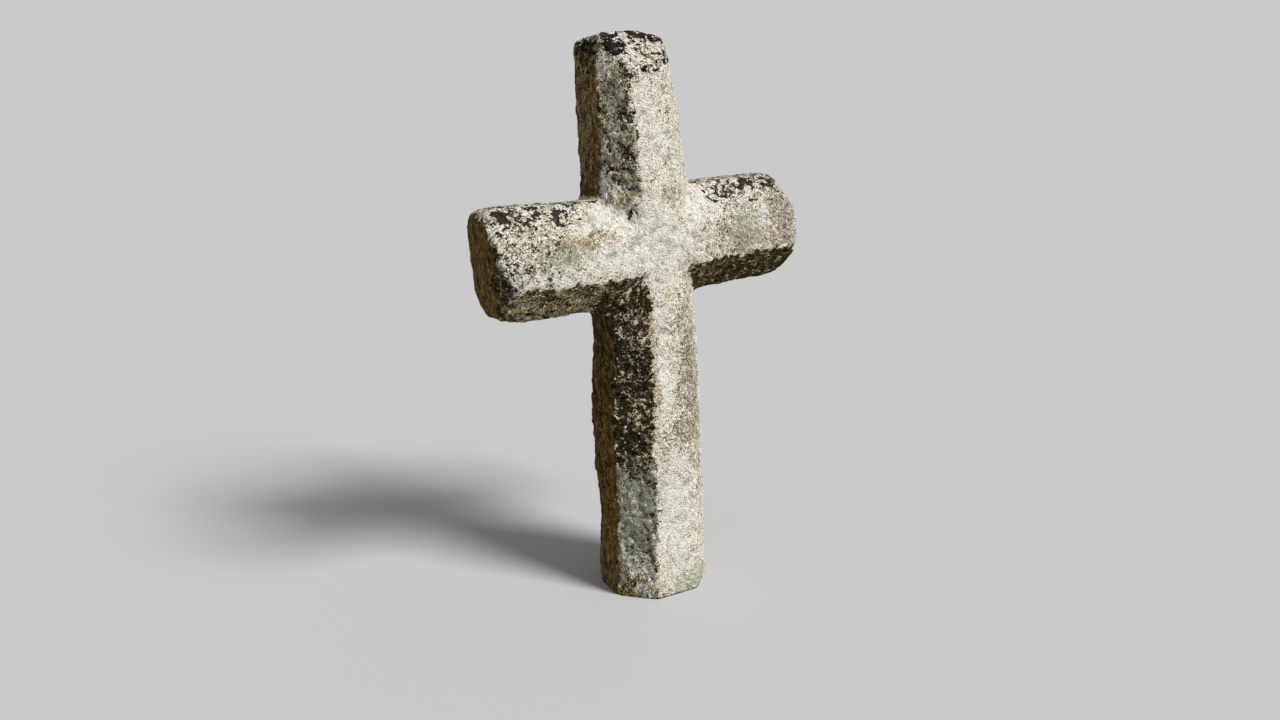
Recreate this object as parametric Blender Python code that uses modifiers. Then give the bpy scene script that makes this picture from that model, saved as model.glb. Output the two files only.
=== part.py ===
# A wayside cross cut from one block of granite: a Latin cross with every long edge cut back to a
# broad chamfer, so that each limb is eight-sided. It stands in turf, leans to its left, and is
# modelled from the turf line up, cut off flat there.
# Metres, +Z up, the front faces -Y and the arms lie along X. The origin is the middle of the
# foot, on the turf line.

from math import radians

import bmesh
import bpy
import numpy as np
from mathutils import Vector, noise

# Overall sizes
HEIGHT = 1.500
ARM_LEVEL = 0.962
ARM_REACH = 0.462
LEAN = radians(4.3)
LEAN_BACK = radians(0.5)
BURIED_DEPTH = 0.10

# The upright's section at the turf, halfway up the shaft, at the arms and under the crown
FOOT_WIDTH, FOOT_THICKNESS, FOOT_CHAMFER = 0.301, 0.265, 0.083
BELLY_WIDTH, BELLY_THICKNESS, BELLY_CHAMFER = 0.279, 0.277, 0.078
NECK_WIDTH, NECK_THICKNESS, NECK_CHAMFER = 0.259, 0.263, 0.073
CROWN_WIDTH, CROWN_THICKNESS, CROWN_CHAMFER = 0.209, 0.222, 0.052
CROWN_BEVEL_HEIGHT = 0.080
BELLY_HEIGHT = 0.52

# How far the upright's middle line strays to its right of the foot's
BELLY_DRIFT = 0.019
NECK_DRIFT = 0.024
CROWN_DRIFT = 0.012

# The arms' sections, and how far each tip rises above its root
LEFT_ARM_HEIGHT = 0.277
RIGHT_ARM_HEIGHT = 0.284
LEFT_ARM_DROP = 0.004
RIGHT_ARM_LIFT = 0.013
ARM_RISE = 0.010
ARM_TIP_THICKNESS = 0.262
ARM_CHAMFER = 0.088

# Worn corners of the outline seen from the front
CROWN_LEFT_RADIUS = 0.022
CROWN_RIGHT_RADIUS = 0.046
LEFT_TIP_TOP_RADIUS, LEFT_TIP_FOOT_RADIUS = 0.050, 0.050
RIGHT_TIP_TOP_RADIUS, RIGHT_TIP_FOOT_RADIUS = 0.030, 0.055
ROOT_FILLET, ROOT_FILLET_REACH = 0.009, 0.060

# The tips seen from above: rounded upright edges, and how much shorter each arm is at its back
LEFT_TIP_FRONT_RADIUS, LEFT_TIP_BACK_RADIUS = 0.020, 0.100
RIGHT_TIP_FRONT_RADIUS, RIGHT_TIP_BACK_RADIUS = 0.036, 0.080
LEFT_TIP_SKEW, RIGHT_TIP_SKEW = 0.012, 0.010
LEFT_TIP_BATTER, RIGHT_TIP_BATTER = 0.016, 0.006
SLANT_SHARPNESS = 4

# Breaks: corners struck off flat, and shallower flakes, nicks and chips
LEFT_SPALL_INSET, LEFT_SPALL_RISE, LEFT_SPALL_REACH = 0.006, 0.040, 0.20
RIGHT_SPALL_INSET, RIGHT_SPALL_DROP, RIGHT_SPALL_REACH = 0.016, 0.045, 0.12
FLAKE_HEIGHT, FLAKE_REACH, FLAKE_DEPTH = 0.24, 0.09, 0.012
UNDERARM_FLAKE_DROP, UNDERARM_FLAKE_REACH, UNDERARM_FLAKE_DEPTH = 0.08, 0.06, 0.010
CROWN_NICK_REACH, CROWN_NICK_DEPTH = 0.05, 0.012
TIP_CHIP_SETBACK, TIP_CHIP_REACH, TIP_CHIP_DEPTH = 0.045, 0.07, 0.012

# Weathering
ARRIS_CREASE = 0.60
SWELL_DEPTH, SWELL_SIZE = 0.0035, 0.19
RIPPLE_DEPTH, RIPPLE_SIZE = 0.0018, 0.07
NOISE_ORIGIN = Vector((3.1, 7.4, 1.9))

# Spacing of the cage's rings before it is subdivided
RING_SPACING = 0.050
TIP_RING = 0.018
TOLERANCE = 1e-5

STONE_COLOUR = (0.62, 0.60, 0.53, 1.0)
STONE_ROUGHNESS = 0.95

HALF_WIDTH = NECK_WIDTH / 2
HALF_THICKNESS = NECK_THICKNESS / 2
HALF_ARM = (LEFT_ARM_HEIGHT + RIGHT_ARM_HEIGHT) / 4
ARM_TOP = ARM_LEVEL + HALF_ARM
ARM_BOTTOM = ARM_LEVEL - HALF_ARM


def clear_scene():
    for old in list(bpy.data.objects):
        bpy.data.objects.remove(old)


def extrude_limb(bm, direction, distance):
    """Pulls the outermost face on one side of the block out along the limb's direction."""
    direction = Vector(direction)
    face = max(bm.faces, key=lambda f: f.calc_center_median().dot(direction))
    made = bmesh.ops.extrude_discrete_faces(bm, faces=[face])["faces"][0]
    bmesh.ops.translate(bm, verts=made.verts, vec=direction * distance)


def is_chamfered(edge):
    """The long edges of the limbs and the crown's front and back edges, but no tip's edges."""
    middle = (edge.verts[0].co + edge.verts[1].co) / 2
    along = edge.verts[1].co - edge.verts[0].co
    on_face = abs(abs(middle.y) - HALF_THICKNESS) < TOLERANCE and abs(along.y) < TOLERANCE
    if not on_face or edge.calc_face_angle() < radians(45):
        return False
    at_tip = abs(middle.x) > ARM_REACH - TOLERANCE
    buried = middle.z < -BURIED_DEPTH + TOLERANCE
    return not at_tip and not buried


def block_out_cross():
    """The cross as a mason would set it out: square limbs, then one chamfer along their edges."""
    bm = bmesh.new()
    bmesh.ops.create_cube(bm, size=1.0)
    bmesh.ops.scale(bm, verts=bm.verts, vec=(NECK_WIDTH, NECK_THICKNESS, 2 * HALF_ARM))
    bmesh.ops.translate(bm, verts=bm.verts, vec=(0, 0, ARM_LEVEL))
    extrude_limb(bm, (0, 0, 1), HEIGHT - ARM_TOP)
    extrude_limb(bm, (0, 0, -1), ARM_BOTTOM + BURIED_DEPTH)
    extrude_limb(bm, (-1, 0, 0), ARM_REACH - HALF_WIDTH)
    extrude_limb(bm, (1, 0, 0), ARM_REACH - HALF_WIDTH)
    bmesh.ops.recalc_face_normals(bm, faces=bm.faces)
    edges = [e for e in bm.edges if is_chamfered(e)]
    bmesh.ops.bevel(bm, geom=edges, offset=NECK_CHAMFER, offset_type="OFFSET", segments=1,
                    profile=0.5, affect="EDGES", material=-1)
    return bm


def steps(start, end, spacing=RING_SPACING):
    """Evenly spaced places between two ends, without the ends."""
    count = max(1, round(abs(end - start) / spacing))
    return [start + (end - start) * i / count for i in range(1, count)]


def cut_rings(bm):
    """Cuts rings across every limb and lines along it, which line up at the chamfers."""
    flat_x = HALF_WIDTH - NECK_CHAMFER
    half_chamfer = NECK_CHAMFER / 2
    root_z = (ARM_BOTTOM, ARM_TOP)
    face_z = (ARM_BOTTOM + NECK_CHAMFER, ARM_TOP - NECK_CHAMFER)
    z_cuts = [*root_z, *face_z, ARM_LEVEL, ARM_BOTTOM + half_chamfer, ARM_TOP - half_chamfer]
    z_cuts += steps(-BURIED_DEPTH, ARM_BOTTOM)
    z_cuts += steps(ARM_TOP, HEIGHT - NECK_CHAMFER)
    z_cuts += [HEIGHT - NECK_CHAMFER, HEIGHT - half_chamfer]
    x_cuts = [0.0]
    y_cuts = [0.0]
    for side in (-1, 1):
        arm = [HALF_WIDTH, *steps(HALF_WIDTH, ARM_REACH), ARM_REACH - TIP_RING]
        x_cuts += [side * x for x in [flat_x, flat_x + half_chamfer, *arm]]
        y_cuts += [side * y for y in [HALF_THICKNESS - NECK_CHAMFER, HALF_THICKNESS - half_chamfer]]
    for axis, cuts in enumerate((x_cuts, y_cuts, z_cuts)):
        for place in cuts:
            normal = Vector((0, 0, 0))
            normal[axis] = 1
            bmesh.ops.bisect_plane(bm, geom=bm.verts[:] + bm.edges[:] + bm.faces[:], dist=TOLERANCE,
                                   plane_co=normal * place, plane_no=normal)


def crease_arrises(bm):
    """Keeps the arrises from rounding away when the cage is subdivided."""
    crease = bm.edges.layers.float.new("crease_edge")
    for edge in bm.edges:
        if edge.calc_face_angle(0) > radians(30):
            edge[crease] = ARRIS_CREASE


def refit(value, half, leg, new_half, new_leg):
    """Moves a coordinate of the blocked-out section to the same place in another section."""
    side = -1 if value < 0 else 1
    place = np.interp(abs(value), (0, half - leg, half), (0, new_half - new_leg, new_half))
    return side * float(place)


def upright_section(z):
    """Width, thickness, chamfer and drift of the upright at a height."""
    heights = (0, BELLY_HEIGHT, ARM_BOTTOM, ARM_TOP, HEIGHT)
    width = np.interp(z, heights, (FOOT_WIDTH, BELLY_WIDTH, NECK_WIDTH, NECK_WIDTH, CROWN_WIDTH))
    thickness = np.interp(z, heights, (FOOT_THICKNESS, BELLY_THICKNESS, NECK_THICKNESS,
                                       NECK_THICKNESS, CROWN_THICKNESS))
    chamfer = np.interp(z, heights, (FOOT_CHAMFER, BELLY_CHAMFER, NECK_CHAMFER,
                                     NECK_CHAMFER, CROWN_CHAMFER))
    drift = np.interp(z, heights, (0, BELLY_DRIFT, NECK_DRIFT, NECK_DRIFT, CROWN_DRIFT))
    return float(width), float(thickness), float(chamfer), float(drift)


def arm_section(x):
    """Height, thickness and centreline of the arms at a place along them."""
    places = (-ARM_REACH, -HALF_WIDTH, HALF_WIDTH, ARM_REACH)
    left, right = ARM_LEVEL - LEFT_ARM_DROP, ARM_LEVEL + RIGHT_ARM_LIFT
    height = np.interp(x, places, (LEFT_ARM_HEIGHT,) * 2 + (RIGHT_ARM_HEIGHT,) * 2)
    level = np.interp(x, places, (left + ARM_RISE, left, right, right + ARM_RISE))
    thickness = np.interp(x, places, (ARM_TIP_THICKNESS, NECK_THICKNESS, NECK_THICKNESS,
                                      ARM_TIP_THICKNESS))
    return float(height), float(thickness), float(level)


def shape_section(co):
    """Carries a point of the blocked-out cross to its place on the tapered, bowed one."""
    x, y, z = co
    width, thickness, chamfer, drift = upright_section(z)
    if abs(z - ARM_LEVEL) <= HALF_ARM + TOLERANCE:
        arm_height, arm_thickness, level = arm_section(x)
        new_z = level + refit(z - ARM_LEVEL, HALF_ARM, NECK_CHAMFER, arm_height / 2, ARM_CHAMFER)
        thickness = min(thickness, arm_thickness)
    else:
        edge = 1 if z > ARM_LEVEL else -1
        arm_height, _, level = arm_section(x)
        root = level + edge * arm_height / 2
        nominal = ARM_LEVEL + edge * HALF_ARM
        if edge > 0:
            new_z = float(np.interp(z, (nominal, HEIGHT - NECK_CHAMFER, HEIGHT),
                                    (root, HEIGHT - CROWN_BEVEL_HEIGHT, HEIGHT)))
        else:
            new_z = float(np.interp(z, (-BURIED_DEPTH, 0, nominal), (-BURIED_DEPTH, 0, root)))
    if abs(x) <= HALF_WIDTH + TOLERANCE:
        new_x = refit(x, HALF_WIDTH, NECK_CHAMFER, width / 2, chamfer)
    else:
        new_x = x
    new_y = refit(y, HALF_THICKNESS, NECK_CHAMFER, thickness / 2, chamfer)
    return Vector((new_x + drift, new_y, new_z))


def slant_tips(co):
    """Sets each tip's foot and back in, so that its end face is neither plumb nor square."""
    side = -1 if co.x < NECK_DRIFT else 1
    batter = LEFT_TIP_BATTER if side < 0 else RIGHT_TIP_BATTER
    skew = LEFT_TIP_SKEW if side < 0 else RIGHT_TIP_SKEW
    out = max(0.0, (abs(co.x - NECK_DRIFT) - HALF_WIDTH) / (ARM_REACH - HALF_WIDTH))
    below = max(0.0, (ARM_LEVEL - co.z) / HALF_ARM)
    behind = (co.y + HALF_THICKNESS) / NECK_THICKNESS
    return co - Vector((side * out ** SLANT_SHARPNESS * (batter * below + skew * behind), 0, 0))


def round_corner(co, axes, corner, radius, inward):
    """Pulls what lies beyond the arc at one corner of an outline back onto the arc."""
    first, second = axes
    centre = Vector((corner[0] + inward[0] * radius, corner[1] + inward[1] * radius))
    away = Vector((co[first], co[second])) - centre
    if away.x * inward[0] >= 0 or away.y * inward[1] >= 0 or away.length <= radius:
        return co
    away.length = radius
    moved = co.copy()
    moved[first], moved[second] = centre + away
    return moved


def round_outline(co):
    """The worn corners of the crown and of the arms' tips, in elevation and in plan."""
    elevation, plan = (0, 2), (0, 1)
    half = CROWN_WIDTH / 2
    co = round_corner(co, elevation, (CROWN_DRIFT - half, HEIGHT), CROWN_LEFT_RADIUS, (1, -1))
    co = round_corner(co, elevation, (CROWN_DRIFT + half, HEIGHT), CROWN_RIGHT_RADIUS, (-1, -1))
    tips = (
        (-1, LEFT_TIP_TOP_RADIUS, LEFT_TIP_FOOT_RADIUS, LEFT_TIP_FRONT_RADIUS, LEFT_TIP_BACK_RADIUS),
        (1, RIGHT_TIP_TOP_RADIUS, RIGHT_TIP_FOOT_RADIUS, RIGHT_TIP_FRONT_RADIUS,
         RIGHT_TIP_BACK_RADIUS),
    )
    for side, top, foot, front, back in tips:
        tip = NECK_DRIFT + side * ARM_REACH
        height, thickness, level = arm_section(side * ARM_REACH)
        co = round_corner(co, plan, (tip, -thickness / 2), front, (-side, 1))
        co = round_corner(co, plan, (tip, thickness / 2), back, (-side, -1))
        co = round_corner(co, elevation, (tip, level + height / 2), top, (-side, -1))
        co = round_corner(co, elevation, (tip, level - height / 2), foot, (-side, 1))
    return co


def spalls():
    """Corners struck off flat: a point on each broken face, its reach, and the way it looks."""
    front = -HALF_THICKNESS
    chamfer = front + NECK_CHAMFER / 2
    return (
        # The left arm's end, low on the front
        (Vector((NECK_DRIFT - ARM_REACH + LEFT_SPALL_INSET, front, ARM_LEVEL + LEFT_SPALL_RISE)),
         LEFT_SPALL_REACH, Vector((-0.59, -0.69, -0.41))),
        # The right arm's end, high on the front
        (Vector((NECK_DRIFT + ARM_REACH - RIGHT_SPALL_INSET, chamfer, ARM_TOP - RIGHT_SPALL_DROP)),
         RIGHT_SPALL_REACH, Vector((0.72, -0.48, 0.50))),
    )


def knocks():
    """Flakes, nicks and the fillets at the roots: where, how wide, how deep and which way."""
    back_arris = FOOT_THICKNESS / 2 - FOOT_CHAMFER
    front_arris = FOOT_CHAMFER - FOOT_THICKNESS / 2
    underarm = ARM_BOTTOM - UNDERARM_FLAKE_DROP
    fillets = []
    for side, root, way in ((-1, ARM_TOP, 1), (-1, ARM_BOTTOM, -1), (1, ARM_TOP, 1)):
        corner = Vector((NECK_DRIFT + side * HALF_WIDTH, 0, root))
        fillets.append((corner, ROOT_FILLET_REACH, ROOT_FILLET, Vector((side, 0, way))))
    flakes = (
        # Off the shaft's back left arris, low down
        (Vector((-FOOT_WIDTH / 2, back_arris, FLAKE_HEIGHT)), FLAKE_REACH, FLAKE_DEPTH,
         Vector((1, -0.4, 0))),
        # Off the same arris, under the arm
        (Vector((NECK_DRIFT - HALF_WIDTH, back_arris, underarm)), UNDERARM_FLAKE_REACH,
         UNDERARM_FLAKE_DEPTH, Vector((1, -0.3, 0))),
        # Out of the crown's left edge
        (Vector((CROWN_DRIFT - CROWN_WIDTH / 2, 0, HEIGHT)), CROWN_NICK_REACH, CROWN_NICK_DEPTH,
         Vector((0.2, 0, -1))),
        # Out of the right tip's upper edge
        (Vector((NECK_DRIFT + ARM_REACH, front_arris - TIP_CHIP_SETBACK, ARM_TOP)),
         TIP_CHIP_REACH, TIP_CHIP_DEPTH, Vector((-0.8, 0.25, -0.55))),
    )
    return (*fillets, *flakes)


def wear(co, spall_list, knock_list):
    """Presses a point back onto each broken face, then in or out with each knock or fillet."""
    for place, reach, outward in spall_list:
        outward = outward.normalized()
        proud = (co - place).dot(outward)
        if proud > 0 and (co - place).length < reach:
            co = co - outward * proud
    for place, reach, depth, way in knock_list:
        distance = Vector((co.x - place.x, 0.5 * (co.y - place.y), co.z - place.z)).length
        near = 1 - min(1.0, distance / reach)
        co = co + way.normalized() * depth * near * near * (3 - 2 * near)
    return co


def weather(co, normal):
    """Long swells and shorter ripples over the dressed faces."""
    swell = noise.noise(co / SWELL_SIZE + NOISE_ORIGIN)
    ripple = noise.noise(co / RIPPLE_SIZE - NOISE_ORIGIN)
    return co + normal * (SWELL_DEPTH * swell + RIPPLE_DEPTH * ripple)


def shape_stone(bm):
    spall_list = spalls()
    knock_list = knocks()
    for vert in bm.verts:
        co = slant_tips(round_outline(shape_section(vert.co)))
        vert.co = wear(co, spall_list, knock_list)
    bm.normal_update()
    moved = [weather(vert.co, vert.normal) for vert in bm.verts]
    for vert, co in zip(bm.verts, moved):
        vert.co = co


def granite_material():
    material = bpy.data.materials.new("granite")
    material.use_nodes = True
    shader = material.node_tree.nodes["Principled BSDF"]
    shader.inputs["Base Color"].default_value = STONE_COLOUR
    shader.inputs["Roughness"].default_value = STONE_ROUGHNESS
    shader.inputs["Metallic"].default_value = 0.0
    return material


def ground_cutter(collection):
    """Everything below the turf line, as one box."""
    size = 2 * (ARM_REACH + BURIED_DEPTH)
    bpy.ops.mesh.primitive_cube_add(size=size, location=(0, 0, -size / 2))
    cutter = bpy.context.object
    cutter.name = "below_turf_line"
    cutter.display_type = "WIRE"
    cutter.hide_render = True
    for old in list(cutter.users_collection):
        old.objects.unlink(cutter)
    collection.objects.link(cutter)
    return cutter


def build_cross(collection, cutter):
    bm = block_out_cross()
    cut_rings(bm)
    crease_arrises(bm)
    shape_stone(bm)
    mesh = bpy.data.meshes.new("cross")
    bm.to_mesh(mesh)
    bm.free()
    mesh.shade_smooth()
    mesh.materials.append(granite_material())
    cross = bpy.data.objects.new("cross", mesh)
    collection.objects.link(cross)
    cross.rotation_euler = (-LEAN_BACK, -LEAN, 0)
    worn = cross.modifiers.new("worn", "SUBSURF")
    worn.levels = 1
    worn.render_levels = 1
    cut = cross.modifiers.new("turf line", "BOOLEAN")
    cut.operation = "DIFFERENCE"
    cut.object = cutter
    return cross


def main():
    clear_scene()
    part = bpy.data.collections.new("wayside cross")
    cutters = bpy.data.collections.new("cutters")
    for collection in (part, cutters):
        bpy.context.scene.collection.children.link(collection)
    build_cross(part, ground_cutter(cutters))


main()
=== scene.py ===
# %% [markdown]
# # A granite wayside cross, worn and crusted with lichen
# The real object is one block of coarse granite, cut to a plain cross with broad chamfers and
# left outdoors for a very long time. Its look comes from three things: soft, chipped arrises, a
# surface that is rough at every scale, and crusts of lichen and algae that follow which way each
# face looks. This lesson takes them in that order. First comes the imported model, whose solid has
# the right outline and is the measure for everything here.

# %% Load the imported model
from math import pi, radians

import bmesh
import bpy
import numpy as np
from mathutils import Euler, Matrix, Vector, noise


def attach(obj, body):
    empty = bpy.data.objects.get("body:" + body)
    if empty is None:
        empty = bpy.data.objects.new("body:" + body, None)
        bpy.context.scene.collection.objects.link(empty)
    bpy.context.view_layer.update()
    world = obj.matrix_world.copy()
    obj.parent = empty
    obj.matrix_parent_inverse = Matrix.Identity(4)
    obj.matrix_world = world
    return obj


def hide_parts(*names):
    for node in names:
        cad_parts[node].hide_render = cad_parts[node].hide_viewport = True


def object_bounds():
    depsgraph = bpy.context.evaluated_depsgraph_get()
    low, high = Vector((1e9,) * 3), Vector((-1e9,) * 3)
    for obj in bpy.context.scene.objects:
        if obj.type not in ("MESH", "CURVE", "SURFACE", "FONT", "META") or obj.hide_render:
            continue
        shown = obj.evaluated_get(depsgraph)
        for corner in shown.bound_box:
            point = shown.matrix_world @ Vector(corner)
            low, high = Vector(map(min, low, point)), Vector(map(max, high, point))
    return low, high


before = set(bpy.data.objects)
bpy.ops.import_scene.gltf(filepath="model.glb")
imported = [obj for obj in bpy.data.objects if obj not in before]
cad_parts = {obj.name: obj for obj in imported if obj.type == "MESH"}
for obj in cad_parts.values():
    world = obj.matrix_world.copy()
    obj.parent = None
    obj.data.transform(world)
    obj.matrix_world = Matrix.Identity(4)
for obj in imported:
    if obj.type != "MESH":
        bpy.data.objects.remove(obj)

cad_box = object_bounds()
scene = bpy.context.scene
MM = 0.001
print("the solid's box:", [tuple(round(v, 4) for v in corner) for corner in cad_box])

# %% [markdown]
# ## The camera
# The eye stands to the left of the front and a little above the arms, looking down slightly. The
# place, the turn and the focal length come from fitting the cross's arrises to their outlines in
# the picture, so the render can be compared with it point by point.

# %% Place the camera
camera = bpy.data.objects.new("camera", bpy.data.cameras.new("camera"))
camera.location = (-1.2573, -1.9898, 1.1710)
camera.rotation_euler = (radians(77.467), 0, radians(-31.306))
camera.data.sensor_width = 36
camera.data.lens = 24.44
scene.collection.objects.link(camera)
scene.camera = camera
print("camera distance to the cross's foot:", round(camera.location.length, 2), "m")

# %% [markdown]
# ## Light and floor
# Rough stone needs one light that rakes across it, or its relief disappears. A broad lamp stands
# high on the front's right, so the front is bright and the chamfers on the left get light that
# only grazes them. The rest is an even dome of weak light. The pale floor's tone is worked out
# so that it is lit to the same grey as the backdrop, and no horizon shows between them.

# %% Set the lamp, the dome and the floor
BACKDROP = 0.591          # linear, the plain grey behind the cross
DOME = 0.34               # what the dome alone gives a level white surface
LAMP_TURN, LAMP_HEIGHT = radians(27), radians(41)     # to the right of the front, and up
LAMP_WIDTH = radians(20)  # a broad lamp, so its shadows have soft edges
LAMP_FRONT = 0.96         # what the lamp adds on the front face
FLOOR_REACH = 60          # metres, too far for the floor's edge to be seen


def linear(hex_colour):
    """An sRGB hex colour as the linear red, green, blue and alpha that shaders take."""
    parts = [int(hex_colour[i:i + 2], 16) / 255 for i in (1, 3, 5)]
    return [v / 12.92 if v <= 0.04045 else ((v + 0.055) / 1.055) ** 2.4 for v in parts] + [1]


def add(tree, kind, settings=None, inputs=None):
    """One node. settings are its own properties; inputs are socket values, or sockets to link."""
    node = tree.nodes.new("ShaderNode" + kind)
    for name, value in (settings or {}).items():
        setattr(node, name, value)
    for socket, value in (inputs or {}).items():
        if isinstance(value, bpy.types.NodeSocket):
            tree.links.new(value, node.inputs[socket])
        else:
            node.inputs[socket].default_value = value
    return node


towards_lamp = Vector((0, -1, 0))
towards_lamp.rotate(Euler((-LAMP_HEIGHT, 0, LAMP_TURN)))
lamp = bpy.data.objects.new("key lamp", bpy.data.lights.new("key lamp", "SUN"))
lamp.data.angle = LAMP_WIDTH
lamp.data.energy = LAMP_FRONT * pi / -towards_lamp.y
lamp.rotation_euler = towards_lamp.to_track_quat("Z", "Y").to_euler()
scene.collection.objects.link(lamp)

world = bpy.data.worlds.new("studio dome")
world.use_nodes = True
scene.world = world
world.node_tree.nodes.clear()
dome_light = add(world.node_tree, "Background", inputs={"Color": (1, 1, 1, 1), "Strength": DOME})
backdrop = add(world.node_tree, "Background", inputs={"Color": (1, 1, 1, 1), "Strength": BACKDROP})
seen = add(world.node_tree, "LightPath")
dome_mix = add(world.node_tree, "MixShader", inputs={
    0: seen.outputs["Is Camera Ray"], 1: dome_light.outputs[0], 2: backdrop.outputs[0]})
add(world.node_tree, "OutputWorld", inputs={"Surface": dome_mix.outputs[0]})
scene.view_settings.view_transform = "Standard"

# matt paper gives the eye a plain ground with nothing on it but the stone's soft shadow
paper = bpy.data.materials.new("matt studio paper")
paper.use_nodes = True
floor_light = DOME + lamp.data.energy * towards_lamp.z / pi
paper_bsdf = paper.node_tree.nodes["Principled BSDF"]
paper_bsdf.inputs["Base Color"].default_value = (*[BACKDROP / floor_light] * 3, 1)
paper_bsdf.inputs["Roughness"].default_value = 1
paper_bsdf.inputs["Specular IOR Level"].default_value = 0
sheet = bmesh.new()
bmesh.ops.create_grid(sheet, x_segments=1, y_segments=1, size=FLOOR_REACH)
floor_mesh = bpy.data.meshes.new("floor")
sheet.to_mesh(floor_mesh)
sheet.free()
floor = bpy.data.objects.new("floor", floor_mesh)
floor_mesh.materials.append(paper)
scene.collection.objects.link(floor)
print("floor tone:", round(BACKDROP / floor_light, 3), "lamp strength:", round(lamp.data.energy, 2))

# %% [markdown]
# ## An even net over the solid
# The solid has long faces, which can't take fine relief. Subdividing them would give slivers, so
# a copy of the solid is cut again into an even net of small squares with a voxel remesh. The net
# is then smoothed a few times, which does what frost and rain have done: flats stay where they
# are and every sharp arris turns into a soft one.

# %% Net the stone and wear its arrises
NET = 5.0 * MM            # side of one square of the net
WEAR_ROUNDS = 24          # each round softens the arrises a little more
CRISP = 0.3               # share of the sharp form that is kept at the arrises
UNDERSIDE = 3.5 * MM      # points that start lower than this belong to the flat underside
WELD = 0.01 * MM          # corners nearer than this are one corner

cad_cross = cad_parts["cross"]
solid = bmesh.new()
solid.from_mesh(cad_cross.data)
bmesh.ops.remove_doubles(solid, verts=solid.verts, dist=WELD)
rough_mesh = bpy.data.meshes.new("granite_cross")
solid.to_mesh(rough_mesh)
solid.free()
cross = bpy.data.objects.new("granite_cross", rough_mesh)
scene.collection.objects.link(cross)
net = cross.modifiers.new("even net", "REMESH")
net.mode = "VOXEL"
net.voxel_size = NET
evaluated = cross.evaluated_get(bpy.context.evaluated_depsgraph_get())
netted = bpy.data.meshes.new_from_object(evaluated)
cross.modifiers.clear()
cross.data = netted

stone = bmesh.new()
stone.from_mesh(netted)
sharp = np.array([v.co for v in stone.verts])
for _ in range(WEAR_ROUNDS):
    bmesh.ops.smooth_vert(stone, verts=stone.verts, factor=0.5,
                          use_axis_x=True, use_axis_y=True, use_axis_z=True)
bottom = sharp[:, 2] < UNDERSIDE
stone.verts.ensure_lookup_table()
for index in np.flatnonzero(bottom):
    stone.verts[int(index)].co.z = 0
stone.to_mesh(netted)
stone.free()
netted.name = "granite_cross"
print("net:", len(netted.vertices), "points,", len(netted.polygons), "squares")

# %% [markdown]
# ## Which way each point looks
# Everything that follows depends on how a face lies: rain and sun on the tops, shade under the
# arms, algae on the side that never dries. The cross leans, so the points are first turned back
# into the cross's own frame, where its front looks along -Y and its arms lie along X.

# %% Turn the points and normals into the cross's own frame
LEAN, LEAN_BACK = radians(4.3), radians(0.5)
ARRIS_LOSS = 2.2 * MM     # a point that wear sank this far, or further, lies on an arris
lean = np.array(Euler((-LEAN_BACK, -LEAN, 0)).to_matrix())


def read(values, name):
    """One vector per point of the net, as rows."""
    flat = np.zeros(len(netted.vertices) * 3, np.float32)
    values.foreach_get(name, flat)
    return flat.reshape(-1, 3).astype(float)


place = read(netted.vertices, "co")
normal = read(netted.vertex_normals, "vector")
own = place @ lean
facing = normal @ lean
x, y, z = own.T
right, back, up = facing.T
left, front, down = -right, -back, -up
arris = np.clip(((sharp - place) * normal).sum(axis=1) / ARRIS_LOSS, -1, 1)
print("arris runs from", arris.min().round(2), "to", arris.max().round(2))

# %% [markdown]
# ## The map for the crust pattern
# Baking the finished colours onto a picture needs each point of the surface to have its own place
# on a flat sheet. The map is made now, while the net is still smooth, because on the rough surface
# every pit would become an island of its own.

# %% Unwrap the smooth net
bpy.context.view_layer.objects.active = cross
cross.select_set(True)
netted.uv_layers.new(name="OFBake")
bpy.ops.object.mode_set(mode="EDIT")
bpy.ops.mesh.select_all(action="SELECT")
bpy.ops.uv.smart_project(angle_limit=radians(60), island_margin=0.003)
bpy.ops.object.mode_set(mode="OBJECT")
print("map:", netted.uv_layers.active.name)

# %% [markdown]
# ## Relief that is rough at every scale
# The stone was dressed with a pick and then lost its fine grains to the weather. So the surface
# has broad hollows as wide as a hand, lumps as wide as a thumb, and pits where single grains
# fell out. Along the arrises whole flakes have gone. Each is noise of its own size, added up and
# laid along the normals. The broad chamfers on the left were left rougher than the front. Two
# forms are too broad for noise and are set by height: the shaft's left side swells a little at
# half its height and is pinched above that, and the crown's right corner has worn down further.
# Because the net's squares are 5 mm, whatever is finer is left to bump.

# %% Hollow, pit and chip the surface
def swell(size, shift, octaves=1):
    """Smooth noise at each point, about -1 to 1, with waves of about size metres.

    shift picks another part of the noise, so that no two swells are alike.
    """
    return np.array([noise.fractal(p, 1.0, 2.0, octaves) for p in (own / size + shift).tolist()])


def rise(values, low, high):
    """0 below low, 1 above high, and a smooth ramp between them."""
    t = np.clip((values - low) / (high - low), 0, 1)
    return t * t * (3 - 2 * t)


PIT_RADIUS = 0.55         # as a share of the width of a cell


def pits(size, share, shift):
    """1 in the middle of a pit, 0 outside. share is the part of the cells that have one."""
    depth = np.zeros(len(own))
    for index, p in enumerate((own / size + shift).tolist()):
        distances, centres = noise.voronoi(p)
        if noise.cell(centres[0] * 7.3) * 0.5 + 0.5 < share:
            depth[index] = max(0.0, 1 - (distances[0] / PIT_RADIUS) ** 2)
    return depth


def between(one, other):
    """1 on a chamfer that looks halfway between two ways, falling to 0 on the faces beside it."""
    return 2 * np.clip(one, 0, 1) * np.clip(other, 0, 1)


def ring(height, reach):
    """1 at this height of the cross, fading out over about reach metres above and below it."""
    return np.exp(-((z - height) / reach) ** 2)


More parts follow.
